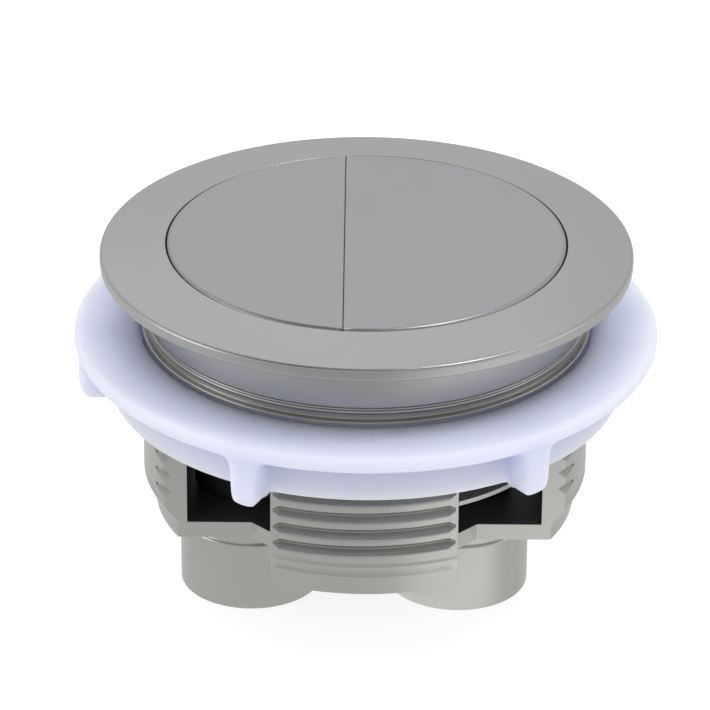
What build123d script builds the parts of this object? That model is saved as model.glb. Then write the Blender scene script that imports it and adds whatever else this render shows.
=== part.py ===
from build123d import *
import os
from collections import namedtuple
from math import acos, asin, atan, degrees, pi, sqrt

# Dual-flush push button for a cistern lid. Millimetres, +Z up.
# The origin is on the bezel's axis, level with the bottoms of the guide tubes.
# The front is towards -Y, the half-flush button is on the -X side.

# Bezel, the ring that shows on the lid
bezel_diameter = 70.0
bezel_edge_height = 1.75
bezel_fall = 1.25
bezel_edge_round = 0.4
opening_diameter = 52.7

# Neck and threaded sleeve below the bezel
sleeve_length = 34.6
bore_relief = 0.45
sleeve_wall = 1.6
neck_wall = 2.1
neck_length = 6.7
bead_height = 0.5
bead_width = 0.5
bead_groove = 0.35
ring_groove = 0.95
groove_wall = 1.75
pilot_height = 2.4
pilot_depth = 1.6
lead_height = 2.2
floor_thickness = 2.4

# Screw thread, cut only on the panels and beside the jambs of the arms
thread_pitch = 2.4
thread_depth = 1.2
thread_root_width = 0.3
thread_mouth_width = 1.7
thread_start = 7.3
thread_stop = 24.6
thread_margin = 0.65
thread_run_out = 1.8

# Corner windows, which leave a front and a back panel and two side arms
panel_width = 24.2
arm_width = 26.6
corner_chamfer = 2.8
window_drop = 16.0

# Guide tubes below the floor
tube_length = 13.2
tube_diameter = 19.2
tube_wall = 2.0
tube_lip = 1.8
tube_step_drop = 3.2
tube_step_depth = 0.3
tube_edge_round = 0.3
half_tube_offset = 15.2
full_tube_offset = 12.5

# Button caps
button_travel = 6.0
button_gap = 0.25
split_offset = 2.9
split_gap = 0.2
cap_thickness = 2.2
cap_edge_round = 0.4
skirt_wall = 1.4
skirt_depth = 12.0
peg_diameter = 3.2
peg_length = 3.4
peg_spacing = 18.0
peg_clearance = 0.05

# Snap tabs of the caps, which catch under the tops of the windows
tab_tuck = 3.0
tab_span = 26.0
half_tab_lift = 5.7
full_tab_lift = 2.2
nib_start = 5.0
nib_span = 14.0
nib_reach = 1.4
nib_height = 1.4
nib_flat = 0.5
catch_gap = 0.2

# Plungers under the caps
carrier_thickness = 2.0
carrier_clearance = 0.25
core_diameter = 7.0
rib_thickness = 1.6
rib_margin = 0.5
rib_taper = 1.5
stop_overlap = 1.4
stop_thickness = 1.5
stop_gap = 0.2
barrel_clearance = 0.3
stem_diameter = 8.0
stem_clearance = 0.25
stem_recess = 0.5
socket_diameter = 5.0
socket_depth = 14.0

# Return springs
spring_length = 12.5
spring_coils = 5
wire_diameter = 0.9
wire_flats = 6
spring_end_gap = 0.02

# Lock nut
lid_gap = 8.9
nut_clearance = 0.35
nut_wall = 4.0
nut_height = 8.6
nut_overhang = 4.8
nut_flange_thickness = 2.7
nut_flange_round = 1.2
nut_flange_draft = 0.4
lug_count = 6
lug_width = 3.0
lug_drop = 1.2
lug_turn = -24.2
lug_root = 0.6
lug_inset = 0.5
lug_flare = 1.7
lug_sink = 0.05
lug_round = 1.2

# Levels
floor_bottom = tube_length
floor_top = floor_bottom + floor_thickness
seat = floor_bottom + sleeve_length
button_top = seat + bezel_edge_height + bezel_fall
window_top = seat - window_drop
cap_under = button_top - cap_thickness
carrier_under = cap_under - carrier_thickness
stop_level = floor_top + button_travel + stop_gap
spring_top = tube_lip + spring_length

# Radii
bezel_r = bezel_diameter / 2
opening_r = opening_diameter / 2
bore_r = opening_r + bore_relief
root_r = bore_r + sleeve_wall
crest_r = root_r + thread_depth
neck_r = bore_r + neck_wall
groove_r = bore_r + groove_wall
cap_r = opening_r - button_gap
tube_r = tube_diameter / 2
tube_bore_r = tube_r - tube_wall
stem_r = stem_diameter / 2
nut_bore_r = crest_r + nut_clearance
hub_r = nut_bore_r + nut_wall
flange_r = hub_r + nut_overhang

# Angles, from the front
FRONT = -90.0
BACK = 90.0
window_angle = degrees(asin(panel_width / 2 / bore_r))
jamb_angle = degrees(acos(arm_width / 2 / crest_r))
panel_groove_span = 2 * degrees(asin((panel_width / 2 - thread_margin) / crest_r))
jamb_groove_span = 2 * degrees(thread_run_out / crest_r)
helix_angle = degrees(atan(thread_pitch / (2 * pi * crest_r)))

Side = namedtuple("Side", "name sign tube_x tab_bottom")
sides = [
    Side("half_flush", -1, -half_tube_offset, floor_top + button_travel + half_tab_lift),
    Side("full_flush", 1, full_tube_offset, floor_top + button_travel + full_tab_lift),
]


def section(points):
    """Flat face in the XZ plane, from (radius, height) points."""
    return Plane.XZ * make_face(Polyline(*points, close=True))


def ring_sector(points, centre, span):
    """Section turned about Z through a span in degrees, centred on an angle."""
    return Rot(0, 0, centre - span / 2) * revolve(section(points), Axis.Z, span)


def rod(radius, low, high, x=0.0, y=0.0):
    """Upright cylinder between two levels."""
    return Pos(x, y, (low + high) / 2) * Cylinder(radius, high - low)


def turned_body():
    """Bezel, neck, sleeve and floor as one turned section."""
    neck_end = seat - neck_length
    bead_top = neck_end - bead_groove
    bead_end = bead_top - bead_width
    ring_top = bead_end - ring_groove
    body = revolve(
        section([
            (0, floor_bottom),
            (crest_r - pilot_depth, floor_bottom),
            (crest_r - pilot_depth, floor_bottom + pilot_height),
            (crest_r, floor_bottom + pilot_height + lead_height),
            (crest_r, ring_top),
            (groove_r, ring_top),
            (groove_r, bead_end),
            (neck_r + bead_height, bead_end),
            (neck_r + bead_height, bead_top),
            (groove_r, bead_top),
            (groove_r, neck_end),
            (neck_r, neck_end),
            (neck_r, seat),
            (bezel_r, seat),
            (bezel_r, seat + bezel_edge_height),
            (opening_r, button_top),
            (opening_r, seat),
            (bore_r, seat),
            (bore_r, floor_top),
            (0, floor_top),
        ]),
        Axis.Z,
    )
    rim = body.edges().filter_by(GeomType.CIRCLE).group_by(SortBy.RADIUS)[-1]
    return fillet(rim, bezel_edge_round)


def corner_window(sign_x, sign_y):
    """Cutter for one corner between a panel and an arm, open at the bottom."""
    edge_x = panel_width / 2
    edge_y = arm_width / 2
    far = bezel_r
    plan = Polyline(
        (edge_x, far),
        (edge_x, edge_y + corner_chamfer),
        (edge_x + corner_chamfer, edge_y),
        (far, edge_y),
        (far, far),
        close=True,
    )
    corner = Plane.XY * make_face(plan)
    if sign_x < 0:
        corner = mirror(corner, Plane.YZ)
    if sign_y < 0:
        corner = mirror(corner, Plane.XZ)
    return Pos(0, 0, floor_bottom) * extrude(corner, window_top - floor_bottom, dir=(0, 0, 1))


def thread_groove(angle, span, height):
    """One turn of the right-hand thread over one stretch of the sleeve."""
    outside = crest_r + thread_depth
    spread = (thread_mouth_width - thread_root_width) / 2 / thread_depth
    half_root = thread_root_width / 2
    half_mouth = half_root + spread * (outside - root_r)
    groove = ring_sector(
        [(root_r, -half_root), (outside, -half_mouth), (outside, half_mouth), (root_r, half_root)],
        0,
        span,
    )
    level = floor_bottom + height + thread_pitch * (angle - FRONT) / 360
    return Pos(0, 0, level) * (Rot(0, 0, angle) * (Rot(helix_angle, 0, 0) * groove))


def thread(angle, span):
    """Turns of the thread over one stretch of the sleeve."""
    turns = int((thread_stop - thread_start) / thread_pitch) + 1
    return [thread_groove(angle, span, thread_start + turn * thread_pitch) for turn in range(turns)]


def guide_tube(x):
    """Outside of one guide tube, with the small step below the floor."""
    lower = rod(tube_r, 0, floor_bottom - tube_step_drop, x)
    foot = lower.edges().group_by(Axis.Z)[0]
    return fillet(foot, tube_edge_round) + rod(tube_r - tube_step_depth, tube_edge_round, floor_top, x)


def housing():
    """One-piece moulding: bezel, neck, threaded sleeve, floor and guide tubes."""
    body = turned_body()
    body -= [corner_window(sx, sy) for sx in (-1, 1) for sy in (-1, 1)]
    for middle in (FRONT, BACK):
        body -= thread(middle, panel_groove_span)
        for turn in (-jamb_angle, jamb_angle):
            body -= thread(middle + turn, jamb_groove_span)
    for side in sides:
        body += guide_tube(side.tube_x)
        body -= rod(tube_bore_r, tube_lip, floor_top, side.tube_x)
        body -= rod(stem_r + stem_clearance, 0, tube_lip, side.tube_x)
    return body


def button_outline(side, inset=0.0):
    """Plan of one button: the part of the round opening on its side of the split."""
    edge = -split_offset + side.sign * (split_gap / 2 + inset)
    half = Pos(edge + side.sign * bezel_r, 0) * Rectangle(2 * bezel_r, 2 * bezel_r)
    return Circle(cap_r - inset) & half


def snap_tab(side, front):
    """Tab that hangs from the skirt, with a nib that catches under the window's top."""
    turn = side.sign if front else -side.sign
    middle = FRONT if front else BACK
    tab_middle = middle + turn * (window_angle - tab_tuck + tab_span / 2)
    nib_middle = middle + turn * (window_angle + nib_start + nib_span / 2)
    tab_inner = cap_r - skirt_wall
    nib_top = window_top - catch_gap
    tab = ring_sector(
        [
            (tab_inner, side.tab_bottom),
            (cap_r, side.tab_bottom),
            (cap_r, cap_under - skirt_depth + skirt_wall),
            (tab_inner, cap_under - skirt_depth + skirt_wall),
        ],
        tab_middle,
        tab_span,
    )
    nib = ring_sector(
        [
            (tab_inner, nib_top - nib_height),
            (cap_r, nib_top - nib_height),
            (cap_r + nib_reach, nib_top - nib_flat),
            (cap_r + nib_reach, nib_top),
            (tab_inner, nib_top),
        ],
        nib_middle,
        nib_span,
    )
    return tab + nib


def peg_places(side):
    """Places of the pegs that hold a cap on its plunger."""
    return [(side.tube_x, offset * peg_spacing / 2) for offset in (-1, 1)]


def cap(side):
    """Push button: plate with rounded edges, skirt, snap tabs and pegs."""
    plate = extrude(Pos(0, 0, cap_under) * button_outline(side), cap_thickness, dir=(0, 0, 1))
    top_edges = plate.faces().sort_by(Axis.Z)[-1].edges()
    body = fillet(top_edges, cap_edge_round)
    wall = button_outline(side) - button_outline(side, skirt_wall)
    body += extrude(Pos(0, 0, cap_under) * wall, skirt_depth, dir=(0, 0, -1))
    for front in (True, False):
        body += snap_tab(side, front)
    for x, y in peg_places(side):
        body += rod(peg_diameter / 2, cap_under - peg_length, cap_under, x, y)
    return body


def plunger(side):
    """Carrier under a cap: plate, ribbed core, stop flange, barrel and hollow stem."""
    stop_r = tube_bore_r + stop_overlap
    stop_top = stop_level + stop_thickness
    plate_plan = button_outline(side, skirt_wall + carrier_clearance)
    body = extrude(Pos(0, 0, carrier_under) * plate_plan, carrier_thickness, dir=(0, 0, 1))
    for x, y in peg_places(side):
        body -= rod(peg_diameter / 2 + peg_clearance, carrier_under, cap_under, x, y)
    foot = stop_r - rib_margin
    head = foot + rib_taper
    rib_side = Polyline(
        (-foot, stop_top),
        (foot, stop_top),
        (head, carrier_under),
        (-head, carrier_under),
        close=True,
    )
    rib = extrude(Plane.XZ * make_face(rib_side), rib_thickness / 2, both=True)
    for turn in (45, 135):
        body += Pos(side.tube_x, 0, 0) * (Rot(0, 0, turn) * rib)
    body += rod(core_diameter / 2, stop_top, carrier_under, side.tube_x)
    body += rod(stop_r, stop_level, stop_top, side.tube_x)
    body += rod(tube_bore_r - barrel_clearance, spring_top, stop_level, side.tube_x)
    body += rod(stem_r, stem_recess, spring_top, side.tube_x)
    body -= rod(socket_diameter / 2, stem_recess, stem_recess + socket_depth, side.tube_x)
    return body


def spring(side):
    """Return spring, coiled between the tube's lip and the barrel."""
    coil_r = (stem_r + tube_bore_r) / 2
    low = tube_lip + wire_diameter / 2 + spring_end_gap
    rise = spring_length - wire_diameter - 2 * spring_end_gap
    path = Helix(rise / spring_coils, rise, coil_r)
    start = Plane(origin=path @ 0, x_dir=(1, 0, 0), z_dir=path % 0)
    wire = start * RegularPolygon(wire_diameter / 2, wire_flats)
    return Pos(side.tube_x, 0, low) * sweep(wire, path, is_frenet=True)


def lug():
    """Grip lug along +X: a tongue with a round nose and a rounded lower end, flared into the hub."""
    high = nut_height - nut_flange_thickness
    half = lug_width / 2
    start = hub_r - lug_root
    nose_x = flange_r - lug_inset - half
    blade = Pos(start, 0) * Rectangle(nose_x - start, lug_width, align=(Align.MIN, Align.CENTER))
    tongue = extrude(blade + Pos(nose_x, 0) * Circle(half), high + lug_drop)
    tongue = fillet(tongue.edges().group_by(Axis.Z)[0], lug_round)
    foot = half + lug_flare
    foot_x = sqrt(hub_r**2 - foot**2) - lug_sink
    bow = lug_flare * (1 - sqrt(0.5))
    flare_plan = make_face(
        Polyline((start, -foot), (foot_x, -foot))
        + ThreePointArc((foot_x, -foot), (foot_x + bow, -half - bow), (foot_x + lug_flare, -half))
        + Line((foot_x + lug_flare, -half), (foot_x + lug_flare, half))
        + ThreePointArc((foot_x + lug_flare, half), (foot_x + bow, half + bow), (foot_x, foot))
        + Polyline((foot_x, foot), (start, foot), (start, -foot))
    )
    return Pos(0, 0, -lug_drop) * tongue + extrude(flare_plan, high, dir=(0, 0, 1))


def lock_nut():
    """Flanged nut with grip lugs, under the lid."""
    flange_low = nut_height - nut_flange_thickness
    body = revolve(
        section([
            (nut_bore_r, 0),
            (hub_r, 0),
            (hub_r, flange_low),
            (flange_r - nut_flange_draft, flange_low),
            (flange_r, nut_height),
            (nut_bore_r, nut_height),
        ]),
        Axis.Z,
    )
    rim = body.edges().filter_by(GeomType.CIRCLE).group_by(SortBy.RADIUS)[-1]
    body = fillet(rim, nut_flange_round)
    grip = lug()
    for turn in range(lug_count):
        body += Rot(0, 0, FRONT + lug_turn + turn * 360 / lug_count) * grip
    return Pos(0, 0, seat - lid_gap - nut_height) * body


pieces = {"housing": housing(), "lock_nut": lock_nut()}
for side in sides:
    pieces[side.name + "_cap"] = cap(side)
    pieces[side.name + "_plunger"] = plunger(side)
    pieces[side.name + "_spring"] = spring(side)

os.makedirs("parts", exist_ok=True)
for name, piece in pieces.items():
    export_step(piece, "parts/" + name + ".step")
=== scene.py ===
"""Looks of a dual-flush push button for a cistern lid, modelled around its packed frame."""

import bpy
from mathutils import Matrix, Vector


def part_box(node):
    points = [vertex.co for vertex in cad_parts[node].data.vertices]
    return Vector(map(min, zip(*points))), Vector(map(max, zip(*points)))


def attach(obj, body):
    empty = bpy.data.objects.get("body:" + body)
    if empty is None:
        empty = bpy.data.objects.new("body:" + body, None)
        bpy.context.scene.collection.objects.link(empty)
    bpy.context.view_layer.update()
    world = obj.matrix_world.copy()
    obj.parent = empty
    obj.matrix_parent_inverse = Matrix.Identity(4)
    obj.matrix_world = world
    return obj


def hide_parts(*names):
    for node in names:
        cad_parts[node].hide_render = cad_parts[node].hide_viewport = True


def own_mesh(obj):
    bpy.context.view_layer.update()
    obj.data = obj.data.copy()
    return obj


bl_info = {
    "name": "Cistern push button",
    "version": (1, 0, 0),
    "blender": (4, 5, 0),
    "location": "View3D > Sidebar > Push button",
    "description": "Models and finishes a dual-flush push button for a cistern lid",
    "category": "Object",
}

from math import asin, atan2, ceil, cos, hypot, pi, radians, sin

import bmesh
import bpy
from bpy.props import FloatProperty, FloatVectorProperty, IntProperty, PointerProperty
from bpy.types import Operator, Panel, PropertyGroup
from mathutils import Euler, Matrix, Vector

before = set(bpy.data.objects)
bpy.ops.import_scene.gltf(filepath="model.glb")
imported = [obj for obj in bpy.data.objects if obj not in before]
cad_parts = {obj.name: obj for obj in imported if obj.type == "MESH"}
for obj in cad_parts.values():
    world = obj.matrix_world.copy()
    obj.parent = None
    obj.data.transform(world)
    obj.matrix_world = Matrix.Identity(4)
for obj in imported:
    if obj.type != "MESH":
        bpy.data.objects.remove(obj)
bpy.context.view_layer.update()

# Places read from the frame, in metres
HOUSING_LOW, HOUSING_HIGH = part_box("housing")
NUT_LOW, NUT_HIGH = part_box("lock_nut")
SIDES = {"half_flush": -1, "full_flush": 1}
SPRING_BOX = {side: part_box(side + "_spring") for side in SIDES}
CAP_BOX = {side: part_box(side + "_cap") for side in SIDES}
TUBE_X = {side: (low.x + high.x) / 2 for side, (low, high) in SPRING_BOX.items()}
CAP_RADIUS = CAP_BOX["full_flush"][1].x
SPRING_RADIUS = (SPRING_BOX["full_flush"][1].x - SPRING_BOX["full_flush"][0].x) / 2
SPRING_FOOT = SPRING_BOX["full_flush"][0].z
SPRING_HEAD = SPRING_BOX["full_flush"][1].z

# Fineness of the meshes
COLUMNS = 128
COLUMN_ANGLE = 2 * pi / COLUMNS
TUBE_COLUMNS = COLUMNS // 2
BORE_COLUMNS = TUBE_COLUMNS - 1  # unlike the tube's, so that their edges never lie on each other
TOOTH_COLUMNS = 4
NIB_COLUMNS = 6
PEG_SIDES = COLUMNS // 4
COIL_COLUMNS = COLUMNS // 4
WIRE_SIDES = 12
PLAIN_STEPS = 5  # from the middle between two lugs to a lug's flare
SLEEVE_TURN = COLUMN_ANGLE * 0.33  # keeps the sleeve's columns off those of its thread
SAME_POINT = 2e-6
CLOSE_POINT = 1e-5
SAME_ANGLE = 1e-4
CLEAR = 0.0002
FRONT = -pi / 2
BACK = pi / 2
SMOOTH_ANGLE = radians(35)
EDGE_ANGLE = radians(40)

# Studio: the floor, the dark card, and each lamp's place, size and show in reflections
FLOOR_WIDTH = 8.0
CARD_SIZE = (1.8, 0.9, 1)
CARD_PLACE = (0, -0.47, 0.85)
LAMPS = {
    "back": ((-0.08, 0.5, 0.55), 0.5, True),
    "left": ((-0.81, -0.19, 0.2), 0.4, True),
    "side": ((0.82, -0.12, 0.16), 0.4, True),
    "right": ((0.33, -0.13, 0.78), 0.16, True),
    "front": ((-0.12, -0.34, 0.9), 0.3, False),
}


def length(name, description, default):
    """Property for a size in metres."""
    return FloatProperty(
        name=name, description=description, default=default, min=0.0, precision=5, unit="LENGTH"
    )


def turn(name, description, default):
    """Property for an angle, whose default is given in degrees."""
    return FloatProperty(
        name=name, description=description, default=radians(default), unit="ROTATION"
    )


def share(name, description, default):
    """Property for a share from 0 to 1."""
    return FloatProperty(
        name=name, description=description, default=default, min=0.0, max=1.0, subtype="FACTOR"
    )


def strength(name, description, default):
    """Property for a brightness, where 1 looks white."""
    return FloatProperty(name=name, description=description, default=default, min=0.0)


def power(name, description, default):
    """Property for a lamp's power in watts."""
    return FloatProperty(
        name=name, description=description, default=default, min=0.0, unit="POWER"
    )


def colour(name, description, default):
    """Property for a linear colour."""
    return FloatVectorProperty(
        name=name, description=description, default=default, min=0.0, max=1.0, subtype="COLOR"
    )


class HousingSizes(PropertyGroup):
    """Sizes of the moulding that carries the other pieces."""

    bezel_radius: length("Bezel radius", "Outside of the ring on the lid", HOUSING_HIGH.x)
    bezel_edge: length("Bezel edge", "Height of the bezel's outer edge", 0.00175)
    bezel_fall: length("Bezel fall", "Fall of the bezel from opening to edge", 0.00125)
    bezel_round: length("Bezel rounding", "Rounding of the bezel's outer edges", 0.00042)
    opening_radius: length("Opening radius", "Round opening for the buttons", 0.02635)
    opening_round: length("Opening rounding", "Rounding of the opening's edge", 0.0002)
    opening_drop: length("Opening drop", "Depth of the opening's edge under the buttons", 0.0002)
    bore_radius: length("Bore radius", "Inside of the sleeve", 0.0268)
    neck_radius: length("Neck radius", "Smooth neck under the bezel", 0.0289)
    neck_length: length("Neck length", "Length of the smooth neck", 0.0069)
    groove_radius: length("Groove radius", "Radius of the grooves at the neck's foot", 0.0288)
    upper_groove: length("Upper groove", "Width of the groove above the bead", 0.0003)
    bead_radius: length("Bead radius", "Outside of the bead at the neck's foot", 0.02905)
    bead_width: length("Bead width", "Height of the bead", 0.0005)
    lower_groove: length("Lower groove", "Width of the groove below the bead", 0.0008)
    bead_round: length("Bead rounding", "Rounding of the bead's and sleeve's edges", 0.00018)
    crest_radius: length("Crest radius", "Outside of the threaded sleeve", 0.0296)
    pilot_radius: length("Pilot radius", "Outside of the sleeve's plain foot", 0.028)
    pilot_height: length("Pilot height", "Height of the sleeve's plain foot", 0.0024)
    lead_height: length("Lead height", "Height of the cone above the foot", 0.0022)
    lead_groove: length("Lead groove", "Height of the shallow groove above the foot", 0.0054)
    lead_groove_width: length("Lead groove width", "Width of the shallow groove", 0.0009)
    lead_groove_depth: length("Lead groove depth", "Depth of the shallow groove", 0.00016)
    lead_round: length("Lead rounding", "Rounding of the cone's edges", 0.0006)
    sleeve_length: length("Sleeve length", "Length below the bezel", 0.0346)
    floor_thickness: length("Floor thickness", "Thickness of the sleeve's floor", 0.0024)
    panel_width: length("Panel width", "Width of the front and back panels", 0.0242)
    arm_width: length("Arm width", "Width of the side arms", 0.0266)
    corner_cut: length("Corner cut", "Slanted corner between panel and arm", 0.0028)
    window_drop: length("Window drop", "Distance from bezel to window tops", 0.016)
    edge_round: length("Edge rounding", "Rounding of the moulded edges", 0.00014)
    thread_pitch: length("Thread pitch", "Rise of the thread in one turn", 0.0024)
    thread_depth: length("Thread depth", "Depth of the thread", 0.0009)
    thread_first: length("First turn", "Height of the first turn above the foot", 0.0073)
    thread_last: length("Last turn", "Height of the last turn above the foot", 0.0246)
    root_width: length("Root width", "Width at the bottom of the thread", 0.0001)
    mouth_width: length("Mouth width", "Width at the top of the thread", 0.00148)
    thread_overrun: turn("Thread overrun", "Turn by which a groove's end goes on", 0.9)
    fade_delay: turn("Fade delay", "Turn by which a groove keeps its depth before it fades", 2.0)
    fade_share: share("Fade share", "Share of its depth that a groove loses at its end", 0.75)
    crest_round: length("Crest rounding", "Rounding of the thread's crests", 0.0003)
    tube_radius: length("Tube radius", "Outside of the guide tubes", 0.0096)
    tube_bore: length("Tube bore", "Inside radius of the guide tubes", 0.0076)
    tube_lip: length("Tube lip", "Thickness of the lip at the tube's foot", 0.0018)
    lip_hole: length("Lip hole", "Radius of the hole for the stem", 0.00425)
    tube_round: length("Tube rounding", "Rounding of the tube's foot", 0.0004)
    step_drop: length("Step drop", "Distance from the floor to the tube's step", 0.0032)
    step_depth: length("Step depth", "Depth of the tube's step", 0.0003)


class NutSizes(PropertyGroup):
    """Sizes of the lock nut under the lid."""

    bore_radius: length("Bore radius", "Hole for the threaded sleeve", 0.02995)
    hub_radius: length("Hub radius", "Outside of the hub", 0.03395)
    flange_thickness: length("Flange thickness", "Thickness of the flange", 0.0027)
    hub_height: length("Hub height", "Height below the flange", 0.0059)
    flange_radius: length("Flange radius", "Outside of the flange", NUT_HIGH.x + 0.00019)
    flange_draft: length("Flange draft", "Slant of the flange's edge", 0.0004)
    flange_round: length("Flange rounding", "Rounding of the flange's edge", 0.0012)
    root_round: length("Root rounding", "Rounding between hub and flange", 0.001)
    bore_round: length("Bore rounding", "Rounding of the bore's and hub's edges", 0.0003)
    lug_count: IntProperty(name="Lugs", description="Number of grip lugs", default=6, min=2)
    lug_width: length("Lug width", "Width of a grip lug", 0.0031)
    lug_flare: length("Lug flare", "Width of the flare at a lug's root", 0.0018)
    lug_reach: length("Lug reach", "Radius of the lugs' noses", 0.0384)
    lug_sag: length("Lug sag", "Extra depth that the smoothing of a lug takes back", 0.0002)
    lug_nose_round: length("Lug nose rounding", "Set-back of a nose's lower end", 0.0018)
    lug_taper: share("Lug taper", "Width of a lug's lower end, as a share of its root", 0.8)
    wall_spread: share("Wall spread", "Share of the flare by which a lug widens at the hub", 0.45)
    outer_spread: share("Outer spread", "Share of the flare added a little farther out", 0.12)
    lug_turn: turn("Lug turn", "Turn of the first lug from the front", -24.2)


class ButtonSizes(PropertyGroup):
    """Sizes of the two push buttons."""

    plate: length("Plate", "Thickness of the pressed plate", 0.0022)
    edge_round: length("Edge rounding", "Rounding of the plate's curved edge", 0.0006)
    rim_ease: length("Rim ease", "Width added to a plate's curved edge", 0.00014)
    split_ease: length("Split ease", "Width added to a plate at the split", 0.00008)
    split_round: length("Split rounding", "Rounding of the plate's straight edge", 0.00015)
    lip_height: length("Lip height", "Plated height at the foot of a long tab", 0.0006)
    skirt_wall: length("Skirt wall", "Thickness of the skirt", 0.0014)
    skirt_depth: length("Skirt depth", "Depth of the skirt below the plate", 0.012)
    tab_start: turn("Tab start", "Angle from the front to a snap tab", 23.84)
    tab_span: turn("Tab span", "Angle covered by a snap tab", 26.0)
    nib_start: turn("Nib start", "Angle from the front to a catch nib", 31.84)
    nib_span: turn("Nib span", "Angle covered by a catch nib", 14.0)
    nib_reach: length("Nib reach", "Reach of a catch nib", 0.0014)
    nib_height: length("Nib height", "Height of a catch nib", 0.0014)
    nib_flat: length("Nib flat", "Height of the nib's outer edge", 0.0005)
    nib_top: length("Nib top", "Level of the nibs' tops", 0.0316)
    peg_radius: length("Peg radius", "Radius of the pegs under the plate", 0.0016)
    peg_length: length("Peg length", "Length of the pegs under the plate", 0.0034)
    peg_spacing: length("Peg spacing", "Distance between the pegs", 0.018)


class SpringSizes(PropertyGroup):
    """Sizes of the return springs."""

    wire_radius: length("Wire radius", "Half the thickness of the wire", 0.00045)
    coils: IntProperty(name="Coils", description="Turns of the wire", default=5, min=1)
    spring_space: length("Spring space", "Room for the spring at rest", 0.0125)


class Finishes(PropertyGroup):
    """Colours and gloss of the finishes."""

    nickel: colour("Nickel", "Satin nickel plating of the housing", (0.40, 0.402, 0.398))
    button_nickel: colour("Button nickel", "Satin nickel of the buttons", (0.356, 0.361, 0.367))
    # Painted reflection colour: plating below the bezel is tinted warmer to stand in for warmer
    # reflections there
    low_reflection_tint: colour("Low tint", "Tint of the plating below the bezel", (1.0, 0.99, 0.953))
    nickel_roughness: share("Nickel roughness", "Dullness of the plating", 0.36)
    # Partly painted shade: bare dark plastic inside the housing, made near-black so that the bore and
    # floor look as dark as their shade
    bare_moulding_and_shade: colour("Moulding", "Bare plastic inside the housing", (0.055, 0.057, 0.059))
    # Painted shade: tabs and skirt under the buttons' plate are near-black to stand for the shade
    # behind the windows; only the lip at a tab's foot stays plated
    painted_tab_shade: colour("Button core", "Bare plastic of the tabs", (0.012, 0.012, 0.015))
    nut: colour("Nut", "White plastic of the lock nut", (0.588, 0.618, 0.85))
    nut_depth: length("Nut depth", "How far light goes into the nut's plastic", 0.012)
    plunger: colour("Plunger", "Black plastic of the plungers", (0.03, 0.03, 0.031))
    steel: colour("Steel", "Wire of the springs", (0.52, 0.52, 0.54))


class StageSizes(PropertyGroup):
    """Camera and light of the plain studio."""

    camera_place: FloatVectorProperty(
        name="Camera place",
        description="Where the camera stands",
        default=(0.0, -0.5439, 0.3140),
        subtype="TRANSLATION",
        unit="LENGTH",
    )
    camera_pitch: turn("Camera pitch", "Angle at which the camera looks down", 27.27)
    camera_yaw: turn("Camera yaw", "Turn of the camera to the left", 0.15)
    camera_roll: turn("Camera roll", "Tilt of the camera", 0.40)
    camera_lens: FloatProperty(
        name="Camera lens", description="Focal length in millimetres", default=233.8, min=1.0
    )
    world_light: strength("World light", "Light from all round", 1.0)
    floor_tone: share("Floor tone", "Tone of the floor where it lights the object", 0.85)
    floor_seen: share("Floor seen", "Tone of the floor that the camera sees", 0.36)
    floor_glow: strength("Floor glow", "Own light of the floor that the camera sees", 0.8)
    # Painted reflection: the floor's brightness in reflections is a glow, darker farther off, with a
    # painted lit patch
    floor_near: strength("Floor near", "Brightness of the near floor in reflections", 0.9)
    floor_far: strength("Floor far", "Brightness of the far floor in reflections", 0.5)
    painted_patch_glow: strength("Floor patch", "Extra brightness of the floor's lit patch", 0.45)
    patch_turn: turn("Patch turn", "Turn of the lit patch from the front to the right", 41.0)
    patch_edge: share("Patch edge", "Nearness to the patch's middle at which it starts", 0.85)
    patch_core: share("Patch core", "Nearness to the patch's middle at which it is full", 0.99)
    # Painted reflection: the dark card only darkens what shiny surfaces reflect
    card_reflection_tone: strength("Card tone", "Brightness of the dark card overhead", 0.12)
    near_reach: length("Near reach", "Distance in front at which the floor starts to darken", 0.07)
    far_reach: length("Far reach", "Distance in front at which the floor stops darkening", 0.14)
    back_power: power("Back power", "Power of the lamp behind", 0.25)
    left_power: power("Left power", "Power of the left lamp", 1.2)
    right_power: power("Right power", "Power of the high right lamp", 1.5)
    side_power: power("Side power", "Power of the low right lamp", 0.6)
    front_power: power("Front power", "Power of the front lamp that lights the nut", 1.6)


# Work in edit mode


def leave_edit_mode():
    """Goes back to object mode with nothing selected."""
    if bpy.context.mode != "OBJECT":
        bpy.ops.object.mode_set(mode="OBJECT")
    bpy.ops.object.select_all(action="DESELECT")


def make_active(piece):
    """Selects one object by itself."""
    leave_edit_mode()
    piece.select_set(True)
    bpy.context.view_layer.objects.active = piece


def select_all():
    """Selects a whole mesh in edit mode."""
    bpy.ops.mesh.select_all(action="SELECT")


def edit(piece):
    """Opens a piece in edit mode with all of it selected."""
    make_active(piece)
    bpy.ops.object.mode_set(mode="EDIT")
    select_all()


def shift(offset):
    """Moves what is selected."""
    bpy.ops.transform.translate(value=offset)


def extrude(offset):
    """Extrudes what is selected."""
    bpy.ops.mesh.extrude_region_move(TRANSFORM_OT_translate={"value": offset})


def round_edges(radius, segments):
    """Rounds the selected edges."""
    bpy.ops.mesh.bevel(offset=radius, segments=segments, affect="EDGES", clamp_overlap=False)


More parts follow.
